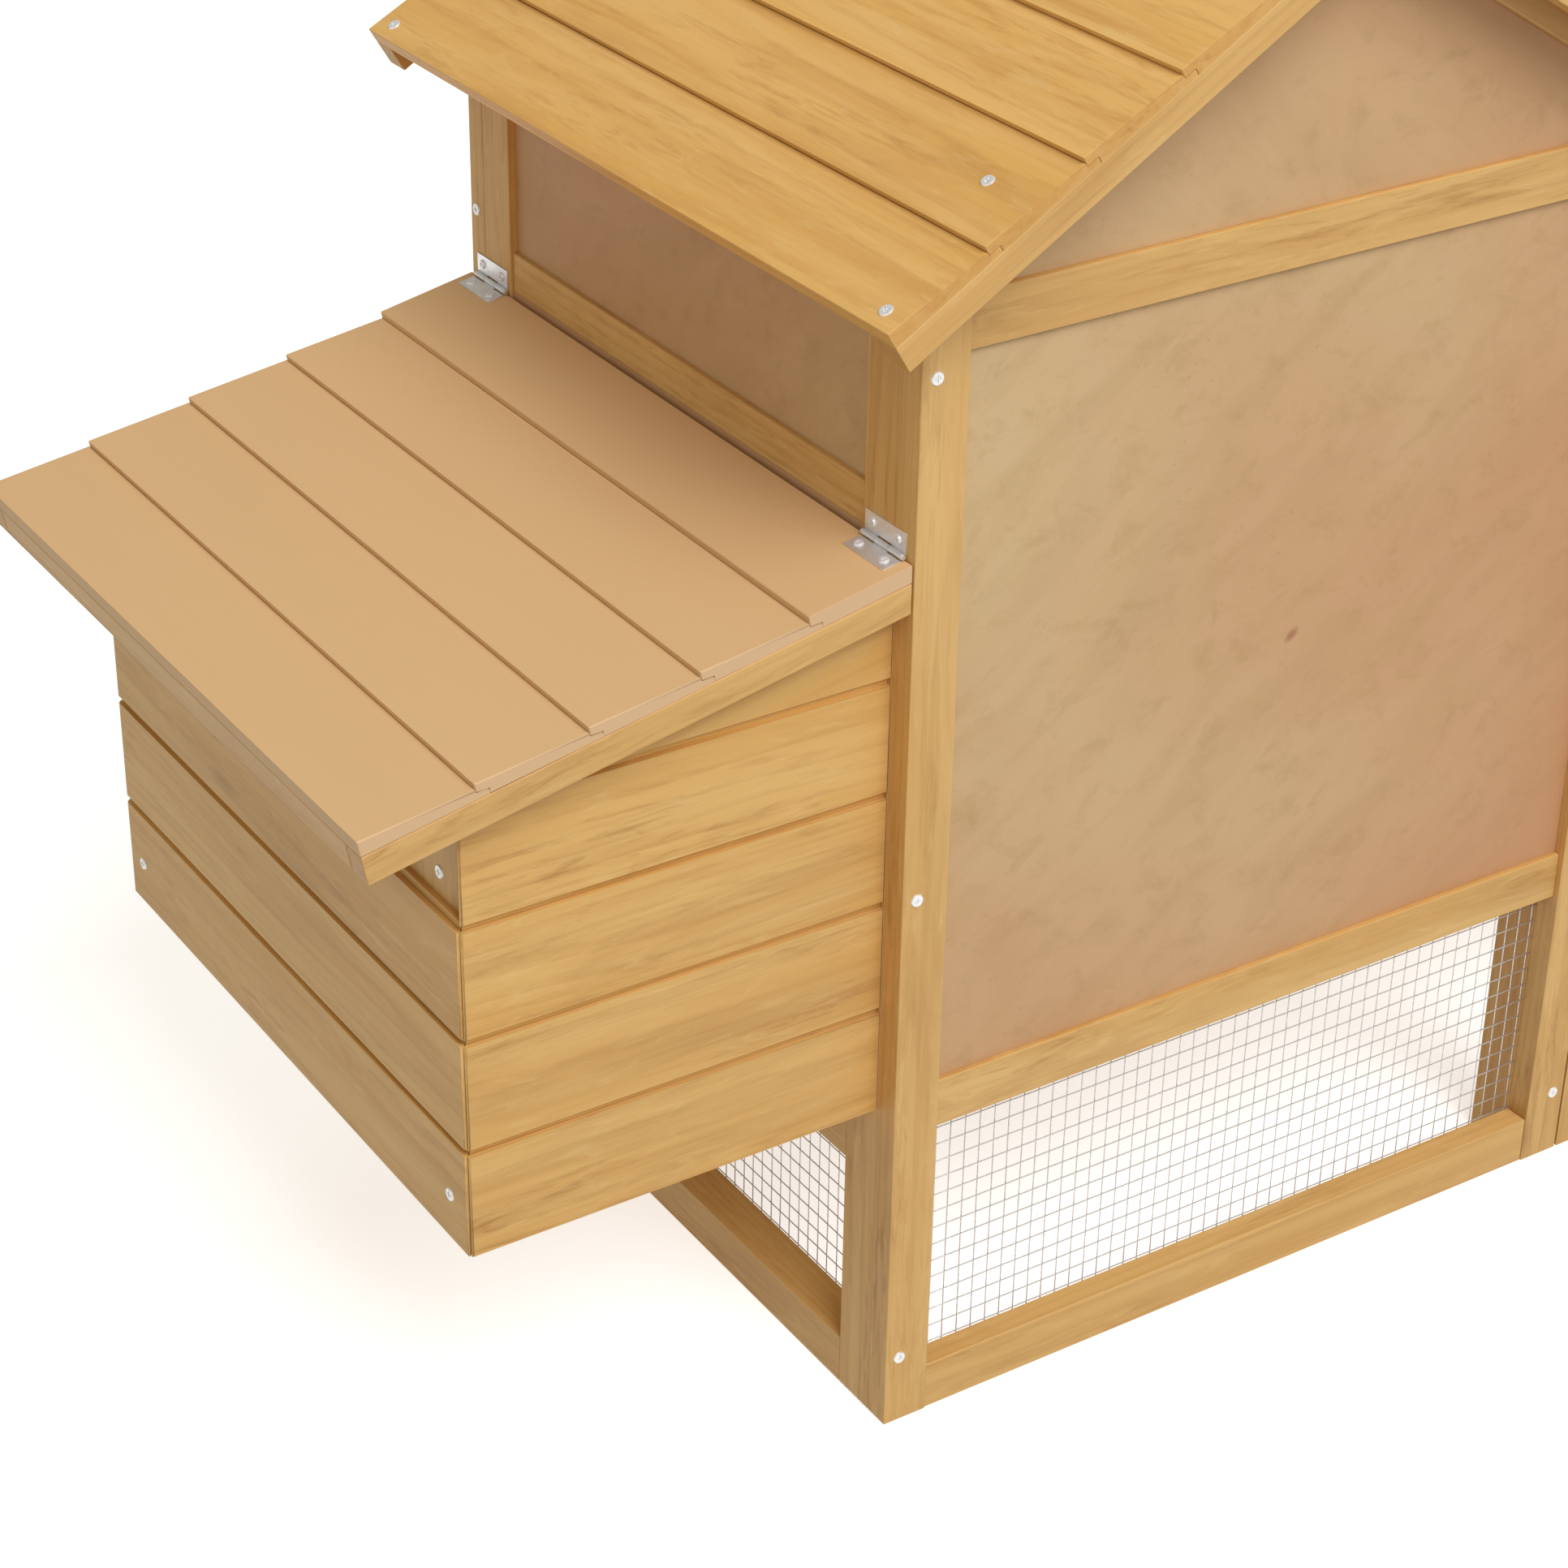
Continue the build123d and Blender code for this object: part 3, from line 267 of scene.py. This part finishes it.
# texture repeats per metre along and across the board, detail, roughness and distortion
pineGrain = {
    "bend": (2.2, 9.0, 2.0, 0.5, 0.0), "ripple": (11.0, 40.0, 2.0, 0.5, 0.0),
    "streak": (5.0, 330.0, 4.0, 0.6, 0.0), "band": (1.6, 42.0, 3.0, 0.55, 0.0),
    "flame": (3.4, 24.0, 5.0, 0.6, 0.6), "pore": (60.0, 1500.0, 2.0, 0.5, 0.0),
    "dash": (19.0, 170.0, 4.0, 0.65, 0.5), "patch": (3.0, 22.0, 2.0, 0.5, 0.0),
    "gleam": (24.0, 130.0, 3.0, 0.6, 0.8),
}
pineShape = {
    "shift": (9.0, 5.0, 5.0),  # how far the boards' patterns are moved apart
    "knotCells": (4.5, 15.0, 20.0), "knotFade": 0.02, "knotPull": (0.0, 0.42), "knotCore": (0.03, 0.13),
    "pithSpread": 0.05, "pithDepth": 0.03, "pithBend": (0.02, 0.01), "pithRipple": 0.002,
    "ringPull": 0.006, "ringVary": (0.8, 0.5), "latewood": (0.25, 0.92), "pullShade": 0.12,
    "endGrain": (0.0002, 0.0006), "endShade": 0.35, "wearWidth": 0.0018, "specular": 0.32,
}


def pineMaterial(name, look):
    m = Material(name)
    shape = pineShape
    place, half, (along, across, through), (toneA, toneB, toneC), (s, u, w) = boardPlace(m, shape["shift"])

    def grain(pattern, sway=(0.0, 0.0), shift=0.0):
        lengthwise, crosswise, detail, roughness, distortion = pineGrain[pattern]
        x = s * lengthwise + bend * sway[0] if sway[0] else s * lengthwise
        y = u * crosswise + bend * sway[1] if sway[1] else u * crosswise
        y = y + shift if shift else y
        return m.noise(m.vector(x, y, w * crosswise), 1.0, detail, roughness, distortion)

    bend = grain("bend") - 0.5
    ripple = grain("ripple") - 0.5
    lengthwise, crosswise, apart = shape["knotCells"]
    knotGap, knotPicks = m.cells(m.vector(s * lengthwise, u * crosswise, toneC * apart))
    knotOn = m.fall(knotPicks[0], look["knotShare"], look["knotShare"] + shape["knotFade"])
    pull = m.fall(knotGap, *shape["knotPull"]) ** 2.0 * knotOn
    knot = m.fall(knotGap, *shape["knotCore"]) * knotOn

    bendAcross, bendThrough = shape["pithBend"]
    pith = across + (toneA - 0.5) * shape["pithSpread"] + bend * bendAcross + ripple * shape["pithRipple"]
    depth = through + shape["pithDepth"] + toneB * shape["pithSpread"] + bend * bendThrough
    ringGap = m.math("SQRT", pith * pith + depth * depth) + pull * shape["ringPull"]
    ringLeast, ringVary = shape["ringVary"]
    rings = m.math("FRACT", ringGap * (look["rings"] * (ringLeast + toneC * ringVary)))
    start, peak = shape["latewood"]
    latewood = m.rise(rings, start, peak) ** 2.0 * m.fall(rings, peak, 1.0)

    streak = grain("streak")
    band = grain("band", (0.0, 3.0))
    flame = grain("flame", (1.5, 0.0))
    dashes = m.rise(grain("dash", (4.0, 0.0)), 0.5, 0.7) * m.rise(grain("patch"), 0.36, 0.6)
    gleam = grain("gleam", (6.0, 0.0), 30.0)

    darkness = latewood * look["ringDepth"] + m.rise(flame, 0.48, 0.76) * look["flameDepth"]
    darkness = darkness + m.rise(streak, 0.5, 0.75) * look["streakDepth"] + dashes * look["dashDepth"]
    darkness = darkness + (toneB - 0.5) * look["boardSpread"] + pull * shape["pullShade"]
    colour = m.mix(m.rise(band, 0.3, 0.7), look["light"], look["mid"])
    colour = m.mix(m.math("ADD", darkness, 0.0, True), colour, look["dark"])
    colour = m.mix(m.rise(gleam, 0.55, 0.75) * look["gleam"], colour, look["bright"])
    colour = m.mix(knot * 0.75, colour, look["knot"])
    colour = m.mix(endFaces(m, along, half, *shape["endGrain"]) * shape["endShade"], colour, look["dark"])
    colour = m.mix(edgeWear(m, place, half, shape["wearWidth"]) * look["wear"], colour, look["light"])

    height = streak * 0.5 + grain("pore") * 0.25 - latewood * 0.2 - knot * 0.3
    roughness = look["rough"] + (streak - 0.5) * 0.12 + knot * 0.05
    fixed = {"Specular IOR Level": shape["specular"]}
    return m.finish(colour, roughness, height, look["bump"], **fixed)


pineLook = {
    "light": srgb(232, 190, 122), "mid": srgb(221, 172, 100), "dark": srgb(174, 120, 58),
    "bright": srgb(242, 204, 138), "gleam": 0.4,
    "knot": srgb(140, 88, 44), "knotShare": 0.16, "rings": 150.0, "ringDepth": 0.17,
    "flameDepth": 0.44, "streakDepth": 0.16, "dashDepth": 0.46, "boardSpread": 0.16, "wear": 0.3,
    "rough": 0.5, "bump": 0.00018,
}
claddingLook = dict(pineLook, light=srgb(234, 190, 118), mid=srgb(224, 173, 96), flameDepth=0.4)
roofLook = dict(claddingLook, light=srgb(244, 198, 122), mid=srgb(234, 181, 98), dark=srgb(192, 134, 66))
plywoodLook = {
    "pale": srgb(219, 192, 145), "warm": srgb(206, 154, 112), "shade": srgb(176, 138, 88),
    "fleck": srgb(150, 78, 52), "fleckCells": (3.6, 6.5, 9.0), "fleckEdge": (0.008, 0.026),
    "fleckShare": (0.48, 0.5), "fleckDepth": 0.6, "slant": (0.8, 0.6), "slope": 1.5, "lean": 0.12,
    "cloud": 1.9, "swirl": 0.2, "mottle": 0.46, "fibre": 0.1, "speck": 0.35, "wear": 0.15,
    "wearWidth": 0.0015, "rough": 0.55, "bump": 0.00008, "specular": 0.3,
}


def plywoodMaterial(name, look):  # rotary-cut veneer, paler towards one corner
    m = Material(name)
    place, half, (along, across, through), (toneA, toneB, toneC), (s, u) = boardPlace(m, (7.0, 7.0))
    most, least = look["slant"]
    sx = s * most + u * least
    sy = u * most - s * least
    cloud = m.noise(m.vector(s * 2.6, u * 3.4, 0.0), 1.0, 3.0, 0.55, 0.4)
    swirl = m.noise(m.vector(sx * 9.0, sy * 26.0, 0.0), 1.0, 4.0, 0.6, 0.8)
    mottle = m.noise(m.vector(s * 34.0, u * 42.0, 0.0), 1.0, 5.0, 0.7, 0.5)
    speck = m.noise(m.vector(s * 160.0, u * 230.0, 0.0), 1.0, 2.0, 0.6)
    fibre = m.noise(m.vector(s * 18.0, u * 420.0, 0.0), 1.0, 3.0, 0.6)
    slope = (along - across) * look["slope"] + (cloud - 0.5) * look["cloud"] + look["lean"]
    specks = m.rise(speck, 0.66, 0.74) * m.rise(cloud, 0.4, 0.6)
    colour = m.mix(m.rise(slope, -0.75, 0.75), look["pale"], look["warm"])
    colour = m.mix(m.rise(swirl, 0.42, 0.68) * look["swirl"], colour, look["shade"])
    colour = m.mix(m.rise(mottle, 0.52, 0.8) * look["mottle"], colour, look["shade"])
    colour = m.mix(m.rise(fibre, 0.55, 0.8) * look["fibre"], colour, look["shade"])
    colour = m.mix(specks * look["speck"], colour, look["shade"])
    lengthwise, crosswise, apart = look["fleckCells"]
    gap, picks = m.cells(m.vector(sx * lengthwise, sy * crosswise, toneC * apart))
    fleck = m.fall(gap, *look["fleckEdge"]) * m.fall(picks[1], *look["fleckShare"])
    colour = m.mix(fleck * look["fleckDepth"], colour, look["fleck"])
    colour = m.mix(edgeWear(m, place, half, look["wearWidth"]) * look["wear"], colour, look["pale"])
    height = mottle * 0.3 + fibre * 0.5 - fleck * 0.3
    roughness = look["rough"] + (mottle - 0.5) * 0.1
    return m.finish(colour, roughness, height, look["bump"], **{"Specular IOR Level": look["specular"]})


lidLook = {
    "top": srgb(229, 189, 138), "shade": srgb(219, 178, 127), "end": srgb(228, 190, 148), "cloud": 0.35,
    "fibre": 0.06, "endEdge": (0.0004, 0.0009), "wear": 0.2, "wearWidth": 0.0015, "rough": 0.62,
    "bump": 0.00004, "specular": 0.3,
}


def lidMaterial(name, look):  # smooth boards with little grain
    m = Material(name)
    place, half, (along, across, through), tones, (s, u) = boardPlace(m, (7.0, 7.0))
    cloud = m.noise(m.vector(s * 2.0, u * 8.0, 0.0), 1.0, 3.0)
    fibre = m.noise(m.vector(s * 12.0, u * 600.0, through * 600.0), 1.0, 3.0)
    grit = m.noise(m.vector(s * 900.0, u * 900.0, through * 900.0), 1.0, 2.0)
    colour = m.mix(m.rise(cloud, 0.3, 0.7) * look["cloud"], look["top"], look["shade"])
    colour = m.mix(m.rise(fibre, 0.5, 0.8) * look["fibre"], colour, look["shade"])
    colour = m.mix(endFaces(m, along, half, *look["endEdge"]), colour, look["end"])
    colour = m.mix(edgeWear(m, place, half, look["wearWidth"]) * look["wear"], colour, look["top"])
    height = fibre * 0.3 + grit * 0.4
    roughness = look["rough"] + (grit - 0.5) * 0.1
    return m.finish(colour, roughness, height, look["bump"], **{"Specular IOR Level": look["specular"]})


steelBump = 0.00003
hingeLook = {
    "light": srgb(240, 240, 242), "dark": srgb(222, 223, 227), "spangle": 90.0, "rough": 0.38, "metal": 0.7,
}
screwLook = {
    "light": srgb(248, 248, 248), "dark": srgb(228, 229, 232), "spangle": 500.0, "rough": 0.4, "metal": 0.4,
}
wireLook = {
    "light": srgb(226, 226, 224), "dark": srgb(186, 186, 186), "spangle": 700.0, "rough": 0.42, "metal": 0.55,
}
trayLook = {
    "light": srgb(196, 199, 202), "dark": srgb(150, 154, 158), "spangle": 90.0, "rough": 0.4, "metal": 0.9,
}


def steelMaterial(name, look):  # zinc spangle with fine scuffs
    m = Material(name)
    where = m.node("ShaderNodeTexCoord", out=3)
    x, y, z = m.split(where)
    spangle = m.noise(where, look["spangle"], 4.0, 0.6)
    scuff = m.noise(m.vector(x * 900.0, y * 900.0, z * 60.0), 1.0, 3.0)
    colour = m.mix(m.rise(spangle, 0.35, 0.7), look["light"], look["dark"])
    colour = m.mix(m.rise(scuff, 0.55, 0.75) * 0.3, colour, look["dark"])
    roughness = look["rough"] + (spangle - 0.5) * 0.2
    metal = look["metal"] - m.rise(scuff, 0.6, 0.8) * 0.1
    return m.finish(colour, roughness, spangle * 0.5 + scuff * 0.3, steelBump, Metallic=metal)


finishes = {
    "pine": pineMaterial("pineLumber", pineLook),
    "cladding": pineMaterial("pineCladding", claddingLook),
    "roof": pineMaterial("pineRoof", roofLook),
    "lid_cladding": lidMaterial("lidCladding", lidLook),
    "plywood": plywoodMaterial("plywoodSheet", plywoodLook),
    "mesh_wire": steelMaterial("galvanisedWire", wireLook),
    "hinge_steel": steelMaterial("zincHinge", hingeLook),
    "screw_steel": steelMaterial("zincScrew", screwLook),
    "tray_sheet": steelMaterial("galvanisedTray", trayLook),
}
print("materials made")

# the timber and the hardware keep their shape and get eased edges
slotOf = {part["node"]: part["material_slot"] for part in frame["record"]["subparts"]}
easing = {
    "pine": {"width": 0.0008, "segments": 2, "shortest": 0.004},
    "cladding": {"width": 0.0006, "segments": 2, "shortest": 0.0035},
    "lid_cladding": {"width": 0.0011, "segments": 3, "shortest": 0.0045},
    "plywood": {"width": 0.0003, "segments": 1, "shortest": 0.004},
    "hinge_steel": {"width": 0.00015, "segments": 2, "shortest": 0.005},
}
otherFinishes = {"lid_battens": "pine", "roof_nest_side_boards": "roof", "roof_run_side_boards": "roof"}
grainAxes = {"front_door_sheet": (0, 0, 1), "back_wall_sheet": (1, 0, 0)}


boardSlots = ("pine", "cladding", "lid_cladding", "plywood")
sharpDot = 0.85  # two faces whose normals agree less than this meet in a sharp edge
weldReach = 0.00001


def markEdges(mesh, shortest):  # sharp edges; the long ones get eased, the rims of screw holes do not
    welded = weldedCorners(mesh)
    normals = {}
    for face in mesh.polygons:
        for a, b in face.edge_keys:
            normals.setdefault(tuple(sorted((welded[a], welded[b]))), []).append(face.normal)
    weights = []
    sharp = []
    for edge in mesh.edges:
        a, b = edge.vertices
        sides = normals[tuple(sorted((welded[a], welded[b])))]
        length = (mesh.vertices[a].co - mesh.vertices[b].co).length
        arris = len(sides) != 2 or sides[0].dot(sides[1]) < sharpDot
        eased = arris and len(sides) == 2 and shortest and length > shortest
        weights.append(1.0 if eased else 0.0)
        sharp.append(arris and not eased)
    layer = mesh.attributes.new("bevel_weight_edge", "FLOAT", "EDGE")
    layer.data.foreach_set("value", weights)
    for edge, flag in zip(mesh.edges, sharp):
        edge.use_edge_sharp = flag


def dress(name, seed):
    obj = nodes[name]
    slot = slotOf[name]
    mesh = obj.data
    if "custom_normal" in mesh.attributes:
        mesh.attributes.remove(mesh.attributes["custom_normal"])
    mesh.shade_smooth()
    markEdges(mesh, easing.get(slot, {}).get("shortest"))
    if slot in boardSlots:
        addBoardPlaces(obj, seed, grainAxes.get(name))
    mesh.materials.clear()
    mesh.materials.append(finishes[otherFinishes.get(name, slot)])
    weld = obj.modifiers.new("weld", "WELD")
    weld.merge_threshold = weldReach
    if slot in easing:
        bevel = obj.modifiers.new("easedEdges", "BEVEL")
        bevel.width = easing[slot]["width"]
        bevel.segments = easing[slot]["segments"]
        bevel.limit_method = "WEIGHT"
        bevel.use_clamp_overlap = False
        bevel.miter_outer = "MITER_ARC"
        bevel.harden_normals = True


meshNodes = [name for name in sorted(nodes) if slotOf[name] == "mesh_wire"]
for seed, name in enumerate(sorted(nodes)):
    if name not in meshNodes:
        dress(name, seed)
print("timber and hardware dressed")

# welded wire mesh, every wire
wire = {
    "radius": 0.00042, "sides": 6, "step": 0.03,
    "upright": 0.01125, "level": 0.01285,  # the pitch of the upright and the level wires
    "layer": 0.00034,  # each way from the middle of the panel
    "stray": 0.00025, "strayIn": 0.3, "strayAlong": 0.5,  # how far a wire wanders, and shares of it
}


def tube(bm, points, radius, sides):
    rings = []
    for n, point in enumerate(points):
        ahead = (points[min(n + 1, len(points) - 1)] - points[max(n - 1, 0)]).normalized()
        side = ahead.orthogonal().normalized()
        up = ahead.cross(side)
        ring = []
        for k in range(sides):
            a = 2 * math.pi * k / sides
            ring.append(bm.verts.new(point + radius * (math.cos(a) * side + math.sin(a) * up)))
        rings.append(ring)
    for a, b in zip(rings, rings[1:]):
        for k in range(sides):
            bm.faces.new((a[k], a[(k + 1) % sides], b[(k + 1) % sides], b[k]))
    bm.faces.new(rings[0][::-1])
    bm.faces.new(rings[-1])


def wirePanel(bm, low, high, dice):
    size = high - low
    thin = min(range(3), key=lambda n: size[n])
    wide, tall = [n for n in range(3) if n != thin]
    middle = (low[thin] + high[thin]) / 2
    for runs, crosses, pitch, layer in ((tall, wide, wire["upright"], 1), (wide, tall, wire["level"], -1)):
        count = int(size[crosses] // pitch)
        spare = (size[crosses] - count * pitch) / 2
        steps = max(2, int(size[runs] / wire["step"]))
        for n in range(count + 1):
            lean = dice.uniform(-1, 1) * wire["stray"]
            points = []
            for k in range(steps + 1):
                p = Vector((0, 0, 0))
                wander = dice.uniform(-wire["strayIn"], wire["strayIn"]) * wire["stray"]
                p[thin] = middle + layer * wire["layer"] + wander
                wander = dice.uniform(-wire["strayAlong"], wire["strayAlong"]) * wire["stray"]
                p[crosses] = low[crosses] + spare + n * pitch + lean + wander
                p[runs] = low[runs] + size[runs] * k / steps
                points.append(p)
            tube(bm, points, wire["radius"], wire["sides"])


def islandBoxes(mesh):
    welded, islands = boardIslands(mesh)
    corners = {}
    for v, island in zip(mesh.vertices, islands):
        low, high = corners.setdefault(island, (v.co.copy(), v.co.copy()))
        for n in range(3):
            low[n] = min(low[n], v.co[n])
            high[n] = max(high[n], v.co[n])
    return [corners[island] for island in sorted(corners)]


for name in meshNodes:
    bm = bmesh.new()
    dice = random.Random(name)
    for low, high in islandBoxes(nodes[name].data):
        wirePanel(bm, low, high, dice)
    mesh = bpy.data.meshes.new(name + "_wires")
    bm.to_mesh(mesh)
    bm.free()
    mesh.shade_smooth()
    piece = bpy.data.objects.new(name + "_wires", mesh)
    bpy.context.scene.collection.objects.link(piece)
    mesh.materials.append(finishes["mesh_wire"])
    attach(piece, nodes[name]["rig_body"])
    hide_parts(name)
print("wire mesh woven")

# floor, light and camera
stageLook = {
    "size": 30.0, "gap": 0.0004, "floor": (0.93, 0.93, 0.93), "floorSpeck": (0.9, 0.9, 0.9),
    "speckScale": 40.0, "speck": 0.1, "floorRough": 0.9, "glow": 0.6,
    "skyColour": (1.0, 0.958, 0.82, 1.0), "sky": 0.41,
}
reach, under = stageLook["size"], -stageLook["gap"]
corners = [(-reach, -reach, under), (reach, -reach, under), (reach, reach, under), (-reach, reach, under)]
floorMesh = bpy.data.meshes.new("floor")
floorMesh.from_pydata(corners, [], [(0, 1, 2, 3)])
floor = bpy.data.objects.new("floor", floorMesh)
bpy.context.scene.collection.objects.link(floor)
paleFloor = Material("paleFloor")
speck = paleFloor.noise(paleFloor.node("ShaderNodeTexCoord", out=3), stageLook["speckScale"])
tone = paleFloor.mix(speck * stageLook["speck"], stageLook["floor"], stageLook["floorSpeck"])
glow = {"Emission Color": (1.0, 1.0, 1.0, 1.0), "Emission Strength": stageLook["glow"]}
floorMesh.materials.append(paleFloor.finish(tone, stageLook["floorRough"], **glow))
floor.visible_diffuse = False

world = bpy.data.worlds.new("studio")
bpy.context.scene.world = world
world.use_nodes = True
sky = world.node_tree.nodes["Background"]
sky.inputs["Color"].default_value = stageLook["skyColour"]
sky.inputs["Strength"].default_value = stageLook["sky"]

houseMiddle = Vector((-0.20725, 0, 0))
keyLight = {
    "place": (-0.5, -6.5, 7.9), "aim": (0.0, 0.0, 0.4), "size": 6.5, "power": 655.0,
    "colour": (1.0, 1.0, 1.05),
}
lampData = bpy.data.lights.new("key", "AREA")
lampData.shape = "DISK"
lampData.size = keyLight["size"]
lampData.energy = keyLight["power"]
lampData.color = keyLight["colour"]
lamp = bpy.data.objects.new("key", lampData)
lamp.location = Vector(keyLight["place"]) + houseMiddle
aim = Vector(keyLight["aim"]) - Vector(keyLight["place"])
lamp.rotation_euler = aim.to_track_quat("-Z", "Y").to_euler()
bpy.context.scene.collection.objects.link(lamp)

view = {
    "place": (-1.3156, -1.6826, 1.4858), "ahead": (0.45517, 0.74114, -0.49350),
    "right": (0.85233, -0.52301, 0.0007), "sensor": 36.0, "lens": 81.68, "shiftX": 0.0651,
    "shiftY": -0.0189, "far": 100.0,
}
cameraData = bpy.data.cameras.new("camera")
cameraData.sensor_width = view["sensor"]
cameraData.lens = view["lens"]
cameraData.shift_x = view["shiftX"]
cameraData.shift_y = view["shiftY"]
cameraData.clip_end = view["far"]
camera = bpy.data.objects.new("camera", cameraData)
back = -Vector(view["ahead"]).normalized()
right = Vector(view["right"]).normalized()
turn = Matrix((right, back.cross(right), back)).transposed()
camera.matrix_world = Matrix.Translation(Vector(view["place"]) + houseMiddle) @ turn.to_4x4()
bpy.context.scene.collection.objects.link(camera)
bpy.context.scene.camera = camera
bpy.context.scene.view_settings.view_transform = "Standard"
print("studio and camera set")
